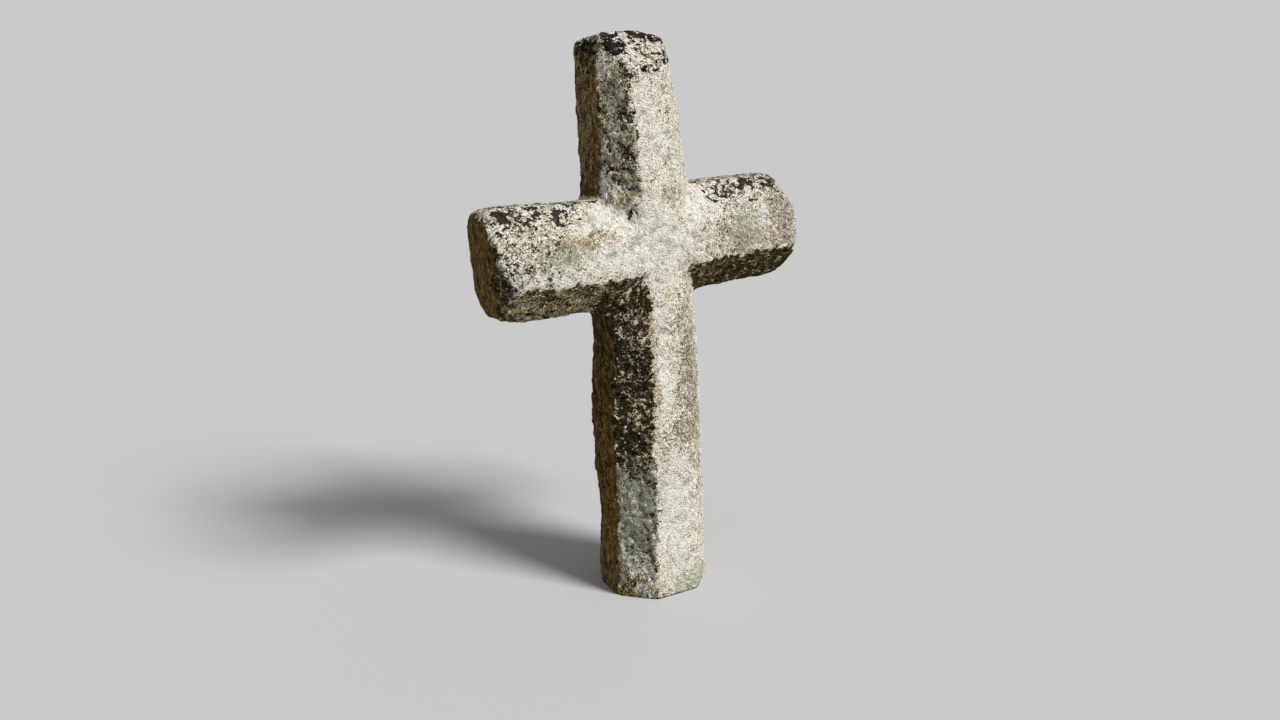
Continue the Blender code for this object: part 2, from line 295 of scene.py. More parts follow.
# heights and depths in mm, each for noise of 1
HOLLOW_DEPTH, LUMP_HEIGHT, GRAIN_HEIGHT, PIT_DEPTH, FLAKE_DEPTH = 3.0, 3.0, 2.4, 2.6, 4.0
CORNER_LOSS, BELLY, PINCH = 2.0, 6.5, 5.0
SKIN = 1.9                # laid on everywhere, for what the rounds of wear took off
FRONT_ROUGH, CHAMFER_ROUGH = 0.68, 0.62     # share everywhere, and what the left chamfers add
MARGIN = 0.2 * MM         # the stone stays this far inside the solid's box
FOOT = 4 * MM             # below this height the relief fades out towards the flat underside

coarse = FRONT_ROUGH + CHAMFER_ROUGH * rise(between(left, front), 0.5, 0.85)
hollows = swell(80 * MM, 3.1, 2)
lumps = swell(26 * MM, 11.7, 2)
grains = swell(12 * MM, 23.9)
fallen = pits(15 * MM, 0.40, 5.3)
flakes = rise(swell(30 * MM, 41.3, 2), 0.0, 0.35) * np.clip(arris, 0, 1)
rough = LUMP_HEIGHT * lumps + GRAIN_HEIGHT * grains - PIT_DEPTH * fallen
crown_corner = rise(z, 1.43, 1.49) * rise(x, 0.03, 0.10)
shaft_side = rise(left, 0.6, 0.9) * (x > -0.2)
belly = BELLY * ring(0.50, 0.09) - PINCH * ring(0.69, 0.03)
relief = (HOLLOW_DEPTH * hollows + coarse * rough - FLAKE_DEPTH * flakes
          - CORNER_LOSS * crown_corner + shaft_side * belly + SKIN) * MM
relief[bottom] = 0
relief *= rise(place[:, 2], 0, FOOT)
worn = place + CRISP * (sharp - place) + normal * relief[:, None]
worn = np.clip(worn, np.array(cad_box[0]) + MARGIN, np.array(cad_box[1]) - MARGIN)
worn[bottom, 2] = 0
netted.vertices.foreach_set("co", worn.astype(np.float32).ravel())
netted.update()
cross.data.shade_smooth()
print("relief from", (relief.min() / MM).round(1), "to", (relief.max() / MM).round(1), "mm")

# %% [markdown]
# ## Where each crust grows
# A lichen is a patch with a ragged rim, so each kind gets a cover value at every point: 1 where
# it has closed up, about a half where it is broken into islands, and below 0 where there is none.
# The material breaks the rims up finely later. The covers follow the way the faces look and how
# high they are, and the patches that the picture shows clearly are set one by one, in metres on the
# cross itself. No rim follows a straight line, so the places and the normals are first shaken.

# %% Let the rims wander
NONE = -1.0
WANDER = 22 * MM          # how far a rim strays from its place
TURN = 0.28               # how far a rim strays from the edge of a face, as a share of a normal
wander = np.stack([swell(32 * MM, shift, 2) for shift in (81.3, 87.1, 93.7)], axis=1)
turned = np.stack([swell(17 * MM, shift, 2) for shift in (101.3, 107.1, 113.7)], axis=1)
x, y, z = (own + WANDER * wander).T
right, back, up = (facing + TURN * turned).T
left, front, down = -right, -back, -up
clouds = swell(90 * MM, 61.1, 2)
islands = swell(35 * MM, 71.9, 2)
proud = np.clip(rough / 1.6, -1, 1)      # 1 on the tops of the lumps, -1 in the pits


def patch(px, pz, rx, rz, most=1.0, fall=0.0):
    """Cover of one patch on the front: most in its middle, 0.6 less at its rim, then fading out.

    fall is how steeply its long side runs down to the right.
    """
    distance = np.hypot((x - px) / rx, (z - pz + fall * (x - px)) / rz)
    return np.where(front > 0.25, np.maximum(most - 0.6 * distance ** 2, NONE), NONE)


def patches(*places):
    """The strongest of several patches at each point."""
    return np.max([patch(*p) for p in places], axis=0)


def where_cover(amount, share):
    """share of the cover where amount is 1, fading to none where it is 0."""
    return NONE + (share - NONE) * amount


def by_height(*steps):
    """A value that runs through steps, each of them a height on the cross and the value there."""
    heights, values = zip(*steps)
    return np.interp(z, heights, values)


ARM_FROM = 0.15           # the arms start this far from the middle
arm_left, arm_right = own[:, 0] < -ARM_FROM, own[:, 0] > ARM_FROM
on_arm = arm_left | arm_right
tops = rise(up, 0.30, 0.60)
unders = rise(down, 0.25, 0.50)
chamfer_left = rise(between(left, front), 0.32, 0.92) * ~on_arm
chamfer_left *= np.maximum(rise(z, 1.04, 1.10), rise(-z, -0.95, -0.90))     # none at the crossing
turned_away = np.clip(rise(back, 0.0, 0.35) + rise(down, 0.1, 0.4) * on_arm, 0, 1)
side_left = np.maximum(rise(left, 0.78 - 0.36 * turned_away, 0.93 - 0.30 * turned_away),
                       rise(-facing[:, 0], 0.88, 0.96))
side_left *= np.maximum(rise(-facing[:, 0], 0.72, 0.84), turned_away)
print("tops cover", round(float(tops.mean()), 3), "of the stone,",
      "undersides", round(float(unders.mean()), 3))

# %% [markdown]
# ## Black on the tops and the crown
# Rain and sun reach the tops of the arms and the crown more than the other faces, and black
# lichen closes up there in thick patches with sharp rims. It thins out down the front, so its
# cover falls with the height. The roots of the arms stay white. On the crown the black gets darker
# tones than on the arms, which is painted shade.

# %% Cover the tops and the crown
arm_black = np.select([arm_left, arm_right], [
    by_height((0.96, NONE), (1.03, 0.20), (1.07, 0.35), (1.10, 0.42)) + 0.12 * rise(-x, 0.25, 0.40),
    by_height((1.02, NONE), (1.05, 0.10), (1.08, 0.32), (1.11, 0.42))], NONE)
arm_black = np.where(front > 0.2, arm_black, np.where(tops > 0.2, 0.42, NONE))
arm_black -= 1.3 * np.clip(patches(      # the arms' roots stay white
    (-0.116, 1.065, 0.06, 0.035), (0.165, 1.07, 0.04, 0.04), (-0.20, 1.034, 0.03, 0.016)), 0, 1)
# black lichen on the crown, given darker tones than on the arms as painted shade
crown_black_and_shade = by_height((1.37, NONE), (1.41, 0.20), (1.45, 0.36), (1.49, 0.60))
crown_black_and_shade = crown_black_and_shade + 0.10 * rise(left, 0.1, 0.6)
crown_black_and_shade -= 0.5 * np.clip(patches((-0.085, 1.415, 0.020, 0.035)), 0, 1)
crown_black_and_shade = np.maximum(crown_black_and_shade, patches(
    (-0.055, 1.465, 0.045, 0.022), (0.025, 1.405, 0.018, 0.010, 0.5), (0.075, 1.44, 0.010, 0.04)))
black_lichen = np.where(on_arm, arm_black, NONE) + 0.30 * islands
crown_black_and_shade = np.where(z > 1.3, crown_black_and_shade, NONE) + 0.30 * islands
black_lichen = np.maximum(black_lichen, patches(
    # along the top of the left arm, from its tip inwards, and one spot on its front
    (-0.393, 1.085, 0.040, 0.016, 1.0, 0.3), (-0.338, 1.080, 0.024, 0.012, 1.0, 0.3),
    (-0.240, 1.068, 0.022, 0.012, 0.9, 0.3), (-0.137, 1.100, 0.024, 0.007, 0.9, 0.1),
    (-0.343, 1.012, 0.008, 0.014, 0.8),
    # along the top of the right arm, from its tip inwards, and two spots near its root
    (0.400, 1.098, 0.012, 0.016, 1.0, -0.3), (0.327, 1.105, 0.026, 0.018),
    (0.333, 1.058, 0.020, 0.006, 1.0, 0.6), (0.276, 1.092, 0.010, 0.010),
    (0.245, 1.080, 0.020, 0.007, 1.0, 0.4), (0.200, 1.082, 0.026, 0.007, 1.0, 0.5),
    (0.172, 1.009, 0.012, 0.007, 0.8), (0.129, 1.000, 0.007, 0.008, 0.8)))
far_arris = rise(between(left, back), 0.3, 0.7) * (z > 1.15)      # the head's, at the rear left
crown_black_and_shade = np.maximum(crown_black_and_shade, where_cover(far_arris, 0.5))
print("black lichen closes up over", round(float((black_lichen > 0.5).mean()), 3), "of the stone")

# %% [markdown]
# ## Patches on the front
# The front carries green-grey, ochre and white lichens, each in places of its own, and a grey
# stripe down the right half of the shaft. Near the right tip and the crown the skin is thin, and
# pinkish stone shows. Every patch is set as an ellipse. The shaken places and the noise in the
# material make it ragged.

# %% Place the patches of the front
pink_stone = patches((0.42, 1.00, 0.085, 0.13, 0.85), (0.05, 1.43, 0.06, 0.035, 0.55))
green_grey = patches((-0.255, 0.985, 0.075, 0.055, 1.0), (0.285, 0.980, 0.060, 0.065, 1.05),
                     (-0.345, 1.04, 0.03, 0.02, 0.7), (0.055, 0.03, 0.09, 0.045, 0.9),
                     (0.40, 1.06, 0.06, 0.035, 0.7), (0.07, 1.20, 0.02, 0.07, 0.6))
ochre = patches(
    # the stain on the left arm and the fainter one on the right arm
    (-0.175, 1.012, 0.050, 0.018, 1.1), (0.22, 1.0, 0.025, 0.025, 0.6),
    # spots around the crossing
    (-0.048, 0.942, 0.014, 0.012, 0.8), (0.055, 1.078, 0.018, 0.010, 0.7),
    (0.084, 1.036, 0.010, 0.014), (0.022, 0.913, 0.010, 0.010), (0.10, 0.90, 0.012, 0.05, 0.6),
    # down the shaft, mostly along its left arris
    (-0.043, 0.80, 0.014, 0.05, 0.8), (0.025, 0.839, 0.014, 0.014),
    (-0.038, 0.751, 0.012, 0.022), (-0.033, 0.79, 0.012, 0.03, 0.7),
    (-0.05, 0.60, 0.008, 0.22, 0.42))
white_crust = patches(
    # the roots of the arms and the crossing
    (-0.116, 1.06, 0.06, 0.03), (-0.20, 1.034, 0.035, 0.018), (-0.136, 0.965, 0.07, 0.05, 0.8),
    (0.160, 1.07, 0.045, 0.04, 1.2), (0.01, 0.98, 0.12, 0.10, 0.95),
    # the arms' fronts
    (-0.38, 0.935, 0.03, 0.04, 0.8), (-0.30, 0.93, 0.11, 0.03, 0.75),
    (0.35, 1.06, 0.05, 0.02, 0.7), (0.350, 1.02, 0.025, 0.035, 0.75),
    # the head and the shaft
    (0.02, 1.25, 0.06, 0.13, 0.58), (-0.010, 0.66, 0.038, 0.17, 0.72), (0.0, 0.22, 0.09, 0.20, 0.75))
grey_stripe = patches(
    # down the right half of the shaft
    (0.080, 0.62, 0.042, 0.22, 0.95), (0.115, 0.60, 0.022, 0.24, 0.7),
    (0.055, 0.76, 0.025, 0.06, 0.65), (0.05, 0.48, 0.06, 0.07, 0.75), (0.10, 0.38, 0.025, 0.12, 0.7),
    # the right arm
    (0.25, 0.96, 0.06, 0.05, 0.55), (0.42, 1.0, 0.06, 0.10, 0.5))
print("white crust closes up over", round(float((white_crust > 0.5).mean()), 3), "of the stone")

# %% [markdown]
# ## The left chamfers and the undersides
# These faces look away from the light and stay damp. The shaft's broad left chamfer is dark from
# knee height up to the arms, darkest along its far half, which is painted shade from the arms, and
# blue-grey near the foot; the head's is blue-grey with dark spots. Under the arms a dark crust is
# broken into islands over a tan film, most of all on the left arm. The bands run across the
# chamfer, so tables of heights set how strong each of them is.

# %% Cover the chamfers and the undersides
dark_by_height = by_height(
    # the foot
    (0.0, 0.28), (0.05, 0.24), (0.15, 0.06), (0.20, -0.4), (0.34, -0.1),
    # the shaft, dark up to the arms
    (0.40, 0.66), (0.50, 0.83), (0.80, 0.87), (0.90, 0.86),
    # the head
    (1.10, 0.04), (1.15, 0.30), (1.22, 0.14), (1.30, 0.18), (1.38, 0.06), (1.42, 0.12), (1.46, 0.60))
# the shaft's chamfer is darkest along its far half, painted shade from the arms, and the head's
# along its far edge
arm_shade = rise(-x, 0.080, 0.110) * rise(z, 0.36, 0.44) * rise(-z, -0.86, -0.80)
head_edge = rise(-x, 0.080, 0.100) * rise(z, 1.14, 1.20)
far_chamfer = rise(between(left, back), 0.40, 0.75) * ~on_arm
dark_crust = np.maximum(where_cover(chamfer_left, dark_by_height), where_cover(far_chamfer, 0.45))
arris_dark = rise(chamfer_left, 0.05, 0.5) * rise(-chamfer_left, -0.98, -0.6)
dark_crust += 0.20 * arris_dark * rise(-z, -1.20, -1.12) + 0.30 * arm_shade + 0.12 * head_edge
dark_crust = np.maximum(dark_crust, patches(
    # along the left arris of the head, and at its root
    (-0.040, 1.38, 0.018, 0.05, 0.75), (-0.040, 1.29, 0.018, 0.12, 0.50),
    (-0.043, 1.20, 0.022, 0.06, 0.62), (-0.052, 1.068, 0.012, 0.010, 1.0),
    # along the left arris low on the shaft
    (-0.056, 0.345, 0.012, 0.025, 0.80), (-0.058, 0.26, 0.008, 0.10, 0.40)))
under_crust = where_cover(unders, np.where(arm_left, 0.40, 0.88)) + 0.45 * islands
tan_film = where_cover(np.maximum(chamfer_left, unders), 0.95 + 0.30 * rise(-z, -0.20, -0.10))
tan_film = np.maximum(tan_film, where_cover(side_left, 1.6))
tan_film = np.maximum(tan_film, patches(
    # along the shaft's left arris, and beside the crossing on the right
    (-0.042, 0.66, 0.022, 0.24, 0.70), (-0.045, 0.865, 0.03, 0.06, 0.75),
    (0.10, 0.90, 0.02, 0.07, 0.65), (0.055, 1.10, 0.03, 0.02, 0.5)))
SPALL = 22 * MM           # about the radius of the corner struck off the left arm's lower front
spall = np.sqrt((x + 0.412) ** 2 + (y + 0.108) ** 2 + ((z - 0.912) / 1.7) ** 2)
dark_crust = np.maximum(dark_crust, np.clip(1.6 - spall / SPALL, NONE, 0.80))
tip_arris = rise(between(left, front), 0.30, 0.70) * arm_left * rise(-z, -1.08, -1.04)
dark_crust = np.maximum(dark_crust, where_cover(tip_arris, 0.35))
dark_crust += 0.30 * islands

blue_by_height = by_height(
    # the foot, and the blue-grey zone above it
    (0.0, 0.35), (0.12, 0.50), (0.16, 1.05), (0.38, 1.05),
    # the shaft
    (0.42, 0.30), (0.80, 0.25),
    # the head
    (1.10, 0.5), (1.14, 0.9), (1.17, 0.6), (1.20, 0.8), (1.27, 0.8), (1.30, 0.5), (1.36, 0.7),
    (1.42, 0.7), (1.45, 0.1))
blue_grey = where_cover(chamfer_left, blue_by_height - 0.30 * head_edge)
blue_grey = np.maximum(blue_grey, where_cover(unders, 0.25))
blue_grey = np.maximum(blue_grey, where_cover(tip_arris, 0.85))
print("dark crust closes up over", round(float((dark_crust > 0.5).mean()), 3), "of the stone")

# %% [markdown]
# ## The shaded left side
# Little light reaches this side and it dries last. Brown algae cover nearly all of it, with
# rust-brown and black streaks down it where rain runs, and they go on thinly over the back and
# the undersides. They are strongest on the shaft and the tip, and thinner on the head. On this
# side their tones are partly painted shade, darker than the algae and streaks alone.

# %% Cover the left side
# the left side's brown, rust and black are algae and streaks, darkened with painted shade
brown_algae_and_shade = where_cover(side_left, by_height(
    (0.05, 0.75), (0.20, 0.80), (0.30, 1.4), (1.10, 1.4), (1.15, 0.55), (1.30, 0.48), (1.45, 0.42)))
behind = rise(back, 0.45, 0.85)
beside = rise(right, 0.82, 0.95)
brown_algae_and_shade = np.maximum(brown_algae_and_shade, where_cover(behind, 0.30) + 0.25 * clouds)
brown_algae_and_shade = np.maximum(brown_algae_and_shade, where_cover(unders, 0.35))
near_arris = rise(-own[:, 1], 0.0, 0.05)
rust_by_height = by_height(
    (0.0, 0.5), (0.45, 0.5), (0.5, 0.2), (1.1, 0.2), (1.15, 0.35), (1.35, 0.40), (1.4, 0.3))
rust_on_tip = 0.25 + 0.35 * rise(-np.abs(z - 0.92), -0.06, 0)
rust_brown = where_cover(side_left, np.where(on_arm, rust_on_tip, rust_by_height * near_arris))
rust_brown = np.maximum(rust_brown, where_cover(head_edge * chamfer_left, 0.40))
black_streaks = where_cover(side_left, np.where(on_arm, 0.25, by_height(
    (0.0, 0.25), (0.4, 0.32), (0.5, 0.45), (0.8, 0.50), (1.1, 0.45), (1.15, 0.32), (1.5, 0.40))))
print("brown algae close up over", round(float((brown_algae_and_shade > 0.5).mean()), 3), "of the stone")

# %% [markdown]
# ## Specks, dabs and pits
# What is left is small. Brownish specks show between the crusts, fewest where white or green-grey
# lichen has closed up; they are partly painted shade of tiny pits. The arms' fronts are dotted with
# black as well, and white dabs lie on the dark chamfer, low on the shaft partly painted highlight on
# the lit sides of its lumps. Dark crusts hold best in the low spots, so they are thinned where the
# stone stands proud. The back and the right side, which the picture doesn't show, get a quiet mix
# of the same crusts.

# %% Sprinkle the specks and the dabs
left_arm_dots = np.clip(patches(
    (-0.36, 1.0, 0.10, 0.06, 1.4), (-0.30, 0.95, 0.04, 0.04, 1.2)), 0, 1)
right_arm_dots = np.clip(patches((0.25, 0.99, 0.12, 0.08), (0.19, 0.99, 0.03, 0.05)), 0, 1)
crossing = np.exp(-(x / 0.12) ** 2) * rise(z, 0.70, 0.85)
quiet = np.clip(np.maximum(white_crust, 0.8 * green_grey), 0, 1)
# specks of darker grain, partly painted shade of tiny pits
specks = (-0.03 - 0.09 * crossing + 0.08 * on_arm + 0.28 * islands
          + 0.10 * behind - 0.08 * beside + 0.08 * tops
          + 0.20 * np.clip(grey_stripe, 0, 1) - 0.42 * quiet
          + 0.20 * left_arm_dots + 0.12 * right_arm_dots
          + 0.30 * chamfer_left * rise(z, 1.12, 1.18))
black_lichen = np.maximum(black_lichen, where_cover(left_arm_dots, 0.24))
black_lichen = np.maximum(black_lichen, where_cover(right_arm_dots, 0.12))
green_grey = np.maximum(green_grey, where_cover(np.maximum(behind, beside), 0.25) + 0.5 * clouds)
white_crust = np.maximum(white_crust, where_cover(beside, 0.40) - 0.5 * clouds)
# white dabs, low on the shaft's chamfer partly painted highlight on the lit sides of its lumps
white_dabs_and_highlights = patches(
    # the head's left chamfer
    (-0.085, 1.41, 0.020, 0.040, 0.75), (-0.075, 1.26, 0.03, 0.12, 0.25),
    (-0.09, 1.115, 0.04, 0.03, 0.6),
    # the shaft's, down to the foot
    (-0.082, 0.753, 0.008, 0.02, 0.7), (-0.105, 0.30, 0.03, 0.12, 0.25),
    (-0.125, 0.15, 0.012, 0.035, 0.8), (-0.105, 0.10, 0.024, 0.045, 0.65),
    (-0.090, 0.04, 0.035, 0.06, 0.6)) - 0.2 * proud
white_dabs_and_highlights = np.maximum(white_dabs_and_highlights, where_cover(unders * arm_left, -0.05) + 0.45 * islands)
# how deep each pit of the relief is, for the painted shade that darkens the pits in the material
hollow = np.clip(-rough / 3.0, 0, 1)
dark_crust -= 0.28 * proud
under_crust -= 0.25 * proud
blue_grey -= 0.15 * proud
print("specks reach", round(float(specks.max()), 2),
      "and the deepest pit", round(float(hollow.max()), 2))

# %% Store the covers on the net
COVERS = {
    "black_lichen": black_lichen, "crown_black_and_shade": crown_black_and_shade, "pink_stone": pink_stone,
    "green_grey": green_grey, "ochre": ochre, "white_crust": white_crust,
    "grey_stripe": grey_stripe, "dark_crust": dark_crust, "blue_grey": blue_grey,
    "brown_algae_and_shade": brown_algae_and_shade, "rust_brown": rust_brown, "black_streaks": black_streaks,
    "under_crust": under_crust, "tan_film": tan_film, "white_dabs_and_highlights": white_dabs_and_highlights,
    "specks": specks, "hollow": hollow}
for name, values in COVERS.items():
    layer = netted.attributes.new(name, "FLOAT", "POINT")
    layer.data.foreach_set("value", values.astype(np.float32))
print("covers stored:", ", ".join(COVERS))

# %% [markdown]
# ## Granite under its crusts
# Coarse granite is feldspar, quartz and mica in grains of 5 to 8 mm, light grey to warm beige with
# dark flecks. Old stone outdoors shows little of it: a pale crust of lichen, thin and matt, covers
# nearly all of the lit faces and is freckled by the pits that it has not filled. So the material
# starts with the grains, lays the pale crust over them, and then adds each of the coloured crusts
# where its cover says, from the thinnest to the thickest.

# %% Grains and pale crust
# coarse stone under crusts gives the eye a dry, dead matt skin that is speckled at every distance
granite = bpy.data.materials.new("lichen_crusted_granite")
granite.use_nodes = True
tree = granite.node_tree
bsdf = tree.nodes["Principled BSDF"]
where = add(tree, "TexCoord").outputs["Object"]

GRAIN = 6.0 * MM          # width of one mineral grain
grain = add(tree, "TexVoronoi", {"feature": "F1"}, {
    "Vector": where, "Scale": 1 / GRAIN, "Randomness": 1.0})
grain_kind = add(tree, "SeparateColor", inputs={0: grain.outputs["Color"]})
minerals = add(tree, "ValToRGB", inputs={0: grain_kind.outputs[0]})
minerals.color_ramp.interpolation = "CONSTANT"
MINERALS = (              # the share of the grains that lies below each of these, and their colour
    (0.0, "#e0d8ca"), (0.36, "#cdbda9"), (0.64, "#b0aca2"), (0.84, "#8d8475"), (0.94, "#5a5342"))
minerals.color_ramp.elements[0].color = linear(MINERALS[0][1])
minerals.color_ramp.elements[1].position = MINERALS[1][0]
minerals.color_ramp.elements[1].color = linear(MINERALS[1][1])
for position, colour in MINERALS[2:]:
    minerals.color_ramp.elements.new(position).color = linear(colour)

cloud = add(tree, "TexNoise", inputs={"Vector": where, "Scale": 1 / (45 * MM), "Detail": 4.0})
fine = add(tree, "TexNoise", inputs={
    "Vector": where, "Scale": 1 / (5 * MM), "Detail": 3.0, "Roughness": 0.6})
cloud_soft = add(tree, "MapRange", inputs={0: cloud.outputs[0], 1: 0.35, 2: 0.65})
fine_soft = add(tree, "MapRange", inputs={0: fine.outputs[0], 1: 0.30, 2: 0.70})
crust_tone = add(tree, "Mix", {"data_type": "RGBA"}, {
    0: cloud_soft.outputs[0], 6: linear("#f3eddd"), 7: linear("#f6f3ea")})
crust = add(tree, "Mix", {"data_type": "RGBA"}, {
    0: fine_soft.outputs[0], 6: linear("#e0d9c6"), 7: crust_tone.outputs[2]})
GRIT = 4.2 * MM           # width of one crumb of a crust
SHAKE = 4 * MM            # how far the crumbs' rims are shaken out of their straight lines
shaken = add(tree, "VectorMath", {"operation": "SCALE"}, {0: fine.outputs["Color"], "Scale": SHAKE})
shaken = add(tree, "VectorMath", {"operation": "ADD"}, {0: where, 1: shaken.outputs[0]})
grit = add(tree, "TexVoronoi", {"feature": "F1"}, {"Vector": shaken.outputs[0], "Scale": 1 / GRIT})
grit_kind = add(tree, "SeparateColor", inputs={0: grit.outputs["Color"]})
THINNEST = 0.42           # how far the minerals show through the thinnest crumbs
thin = add(tree, "MapRange", inputs={0: grit_kind.outputs[1], 1: 0.3, 2: 1.0, 3: 0.0, 4: THINNEST})
crusted = add(tree, "Mix", {"data_type": "RGBA"}, {
    0: thin.outputs[0], 6: crust.outputs[2], 7: minerals.outputs[0]})
print("pale crust over", round(GRAIN / MM, 1), "mm grains")

# %% [markdown]
# ## The coloured crusts
# Every crust is made in the same way. Its cover is read from the net. Ragged noise of the right
# size is added, with a little for the hollows between the grains and a little for every crumb,
# and where the sum passes its middle value the crust shows. Two tones, mixed by finer noise, keep
# each of them from being flat. On the shaded side the noise is drawn out upwards, because rain
# runs down there and leaves streaks, and under the arms it is drawn out along them.

# %% Add the crusts one over the other
# name, size of its islands in mm, softness of the rim, light tone, dark tone, size of the mottling
# in mm, the noise below which the dark tone shows, how much it keeps to the hollows between the
# grains (below 0, to the tops of the grains), how much its rim and its mottling follow the single
# crumbs, and how far it is drawn out sideways and upwards; those further down lie on top
CRUSTS = (
    ("pink_stone", 9.0, 0.20, "#cfc2b2", "#94887a", 4.5, 0.49, 1.0, 0.8, 1.0, 1.0),
    ("green_grey", 9.0, 0.25, "#c9c8b1", "#999880", 4.5, 0.49, 0.6, 0.5, 1.0, 1.0),
    ("grey_stripe", 8.0, 0.22, "#c0b9a4", "#878068", 4.5, 0.49, 1.0, 0.7, 1.0, 2.0),
    ("ochre", 7.0, 0.45, "#c9b38c", "#957c54", 4.0, 0.50, 1.0, 0.4, 1.0, 1.0),
    ("white_crust", 9.0, 0.15, "#f1efe8", "#dfdbcf", 5.0, 0.49, -1.5, 0.8, 1.0, 1.0),
    # the specks keep to the bump's hollows: darker grain, partly painted shade of tiny pits
    ("specks", 4.5, 0.10, "#9c8f6e", "#66593f", 3.5, 0.50, 1.4, 1.3, 1.0, 1.0),
    ("tan_film", 9.0, 0.25, "#c8b78f", "#84754f", 4.5, 0.50, 0.8, 0.9, 1.0, 1.2),
    ("blue_grey", 9.0, 0.20, "#abae9a", "#72735f", 4.5, 0.48, 1.0, 0.5, 1.0, 1.3),
    # brown algae, rust and black streaks of the left side, their tones darkened with painted shade
    ("brown_algae_and_shade", 14.0, 0.30, "#957f48", "#5c4a20", 9.0, 0.51, 0.4, 0.5, 1.0, 2.0),
    ("rust_brown", 14.0, 0.25, "#b0894a", "#6e5020", 8.0, 0.52, 0.4, 0.5, 1.0, 2.4),
    ("black_streaks", 14.0, 0.30, "#46370f", "#2c2108", 8.0, 0.50, 0.6, 0.5, 1.0, 2.4),
    ("under_crust", 8.0, 0.15, "#585027", "#110d03", 4.5, 0.51, 1.2, 0.6, 2.2, 1.0),
    ("dark_crust", 8.0, 0.15, "#4c452f", "#221c0c", 4.5, 0.50, 1.1, 0.8, 1.0, 1.1),
    # white dabs: white lichen, partly painted highlight on the lit sides of lumps
    ("white_dabs_and_highlights", 6.0, 0.15, "#efece2", "#d8d4c6", 5.0, 0.48, -1.2, 0.5, 1.0, 1.6),
    ("black_lichen", 13.0, 0.05, "#4e423a", "#2c221d", 5.0, 0.50, 0.8, 0.15, 1.3, 1.0),
    # the crown's black is darker than the arms' black: black lichen with painted shade
    ("crown_black_and_shade", 15.0, 0.05, "#39302b", "#1b1613", 5.0, 0.50, 0.8, 0.25, 1.1, 1.0),
)
RAGGED = 3.0              # how far the noise pushes a rim in or out
TONE_EDGE = 0.12          # half the width of the step between the two tones
low_spots = add(tree, "MapRange", inputs={0: fine.outputs[0], 1: 0.35, 2: 0.65, 3: 0.5, 4: -0.5})
colour = crusted.outputs[2]
for seed, (name, size, rim, light, dark, mottle, dark_below, sinks, gritty,
           aside, upward) in enumerate(CRUSTS):
    cover = add(tree, "Attribute", {"attribute_name": name})
    shifted = add(tree, "Mapping", inputs={
        "Vector": where, "Location": (seed * 1.7, seed * -2.3, seed * 0.9),
        "Scale": (1 / aside, 1, 1 / upward)})
    ragged = add(tree, "TexNoise", inputs={
        "Vector": shifted.outputs[0], "Scale": 1 / (size * MM), "Detail": 5.0, "Roughness": 0.62})
    reach = add(tree, "Math", {"operation": "MULTIPLY_ADD"}, {
        0: ragged.outputs[0], 1: RAGGED, 2: -0.5 * RAGGED})
    level = add(tree, "Math", {"operation": "ADD"}, {0: cover.outputs["Fac"], 1: reach.outputs[0]})
    level = add(tree, "Math", {"operation": "MULTIPLY_ADD"}, {
        0: low_spots.outputs[0], 1: 0.5 * sinks, 2: level.outputs[0]})
    level = add(tree, "Math", {"operation": "MULTIPLY_ADD"}, {
        0: grit_kind.outputs[seed % 3], 1: gritty, 2: level.outputs[0]})
    middle = 0.5 + 0.5 * gritty
    shows = add(tree, "MapRange", {"interpolation_type": "SMOOTHSTEP"}, {
        0: level.outputs[0], 1: middle - rim, 2: middle + rim})
    mottled = add(tree, "TexNoise", inputs={
        "Vector": shifted.outputs[0], "Scale": 1 / (mottle * MM), "Detail": 2.0})
    freckled = add(tree, "Math", {"operation": "MULTIPLY_ADD"}, {
        0: grit_kind.outputs[(seed + 1) % 3], 1: 0.5 * gritty, 2: mottled.outputs[0]})
    dark_limit = dark_below + 0.25 * gritty
    share = add(tree, "MapRange", inputs={
        0: freckled.outputs[0], 1: dark_limit - TONE_EDGE, 2: dark_limit + TONE_EDGE,
        3: 1.0, 4: 0.0})
    tone = add(tree, "Mix", {"data_type": "RGBA"}, {
        0: share.outputs[0], 6: linear(light), 7: linear(dark)})
    laid = add(tree, "Mix", {"data_type": "RGBA"}, {
        0: shows.outputs[0], 6: colour, 7: tone.outputs[2]})
    colour = laid.outputs[2]
print("crusts:", ", ".join(crust_row[0] for crust_row in CRUSTS))

# %% [markdown]
# ## Where single grains are lost
# Frost loosens whole grains, and each of them leaves a small round hole, darkened with painted
# shade. More are gone where the specks are dense. A pattern of cells gives every hole its place and
# decides by chance whether it is there.

# %% Dot the stone where single grains are lost
LOST = 7.5 * MM           # from one lost grain to the next
lost = add(tree, "TexVoronoi", {"feature": "F1"}, {"Vector": shaken.outputs[0], "Scale": 1 / LOST})
lost_kind = add(tree, "SeparateColor", inputs={0: lost.outputs["Color"]})
speck_cover = add(tree, "Attribute", {"attribute_name": "specks"})
chance = add(tree, "Math", {"operation": "ADD"}, {
    0: lost_kind.outputs[0], 1: speck_cover.outputs["Fac"]})
is_lost = add(tree, "MapRange", inputs={0: chance.outputs[0], 1: 0.78, 2: 0.92})
dot = add(tree, "MapRange", {"interpolation_type": "SMOOTHSTEP"}, {
    0: lost.outputs["Distance"], 1: 0.44, 2: 0.22})
hole = add(tree, "Math", {"operation": "MULTIPLY"}, {0: is_lost.outputs[0], 1: dot.outputs[0]})
HOLE_SHADE = 0.8           # how strongly a hole is darkened with painted shade
hole_shade = add(tree, "Math", {"operation": "MULTIPLY"}, {0: hole.outputs[0], 1: HOLE_SHADE})
# each lost grain's hole is darkened with painted shade
dotted = add(tree, "Mix", {"data_type": "RGBA", "blend_type": "MULTIPLY"}, {
    0: hole_shade.outputs[0], 6: colour, 7: linear("#7c6e56")})
colour = dotted.outputs[2]
print("lost grains every", round(LOST / MM, 1), "mm")
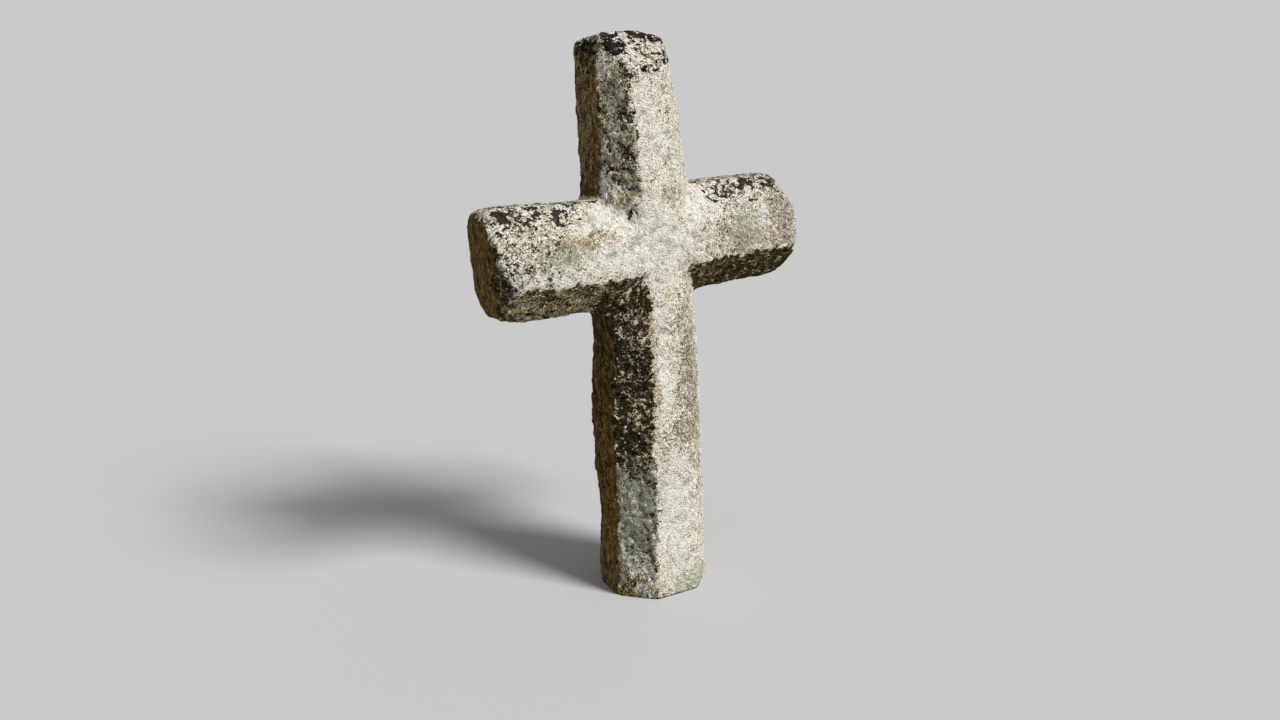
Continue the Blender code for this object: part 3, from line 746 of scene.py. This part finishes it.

# %% [markdown]
# ## Pits, gloss and bump
# Painted shade darkens the pits. The stone is matt everywhere, a little less so on
# some of its grains. Relief finer than the net comes from bump: the crumbly skin of the crusts,
# the grains that stand proud under it, and the holes of the lost ones. The skin's bump is deeper
# than a real crust, because bump throws no shadows and would look too smooth otherwise.

# %% Finish the material
PIT_SHADE = 0.45               # how strongly painted shade darkens the deepest pits
SMOOTHEST, ROUGHEST = 0.78, 0.96
SHEEN = 0.06              # mirror-like part of the light, next to none on lichen
SKIN_BUMP, GRAIN_BUMP, HOLE_BUMP = 5.0 * MM, 2.0 * MM, 1.8 * MM
# the pits are darkened with painted shade, more where the net's relief sinks deeper
sunk = add(tree, "Attribute", {"attribute_name": "hollow"})
pit_shade = add(tree, "MapRange", inputs={0: sunk.outputs["Fac"], 1: 0.1, 2: 0.9, 3: 0.0, 4: PIT_SHADE})
pit_shaded = add(tree, "Mix", {"data_type": "RGBA", "blend_type": "MULTIPLY"}, {
    0: pit_shade.outputs[0], 6: colour, 7: linear("#8b8068")})
tree.links.new(pit_shaded.outputs[2], bsdf.inputs["Base Color"])
matt = add(tree, "MapRange", inputs={
    0: grain_kind.outputs[2], 1: 0.0, 2: 1.0, 3: SMOOTHEST, 4: ROUGHEST})
tree.links.new(matt.outputs[0], bsdf.inputs["Roughness"])
bsdf.inputs["Specular IOR Level"].default_value = SHEEN
gritty_height = add(tree, "Math", {"operation": "MULTIPLY_ADD"}, {
    0: grit_kind.outputs[2], 1: 0.65, 2: fine_soft.outputs[0]})
skin_bump = add(tree, "Bump", inputs={
    "Height": gritty_height.outputs[0], "Distance": SKIN_BUMP, "Strength": 1.0})
grain_bump = add(tree, "Bump", {"invert": True}, {
    "Height": grain.outputs["Distance"], "Distance": GRAIN_BUMP, "Strength": 1.0,
    "Normal": skin_bump.outputs[0]})
holes = add(tree, "Bump", {"invert": True}, {
    "Height": hole.outputs[0], "Distance": HOLE_BUMP, "Strength": 1.0,
    "Normal": grain_bump.outputs[0]})
tree.links.new(holes.outputs[0], bsdf.inputs["Normal"])
netted.materials.clear()
netted.materials.append(granite)
print("material:", granite.name, "with", len(tree.nodes), "nodes")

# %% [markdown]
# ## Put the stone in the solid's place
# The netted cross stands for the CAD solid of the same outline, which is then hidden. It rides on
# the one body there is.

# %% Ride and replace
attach(cross, "root")
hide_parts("cross")
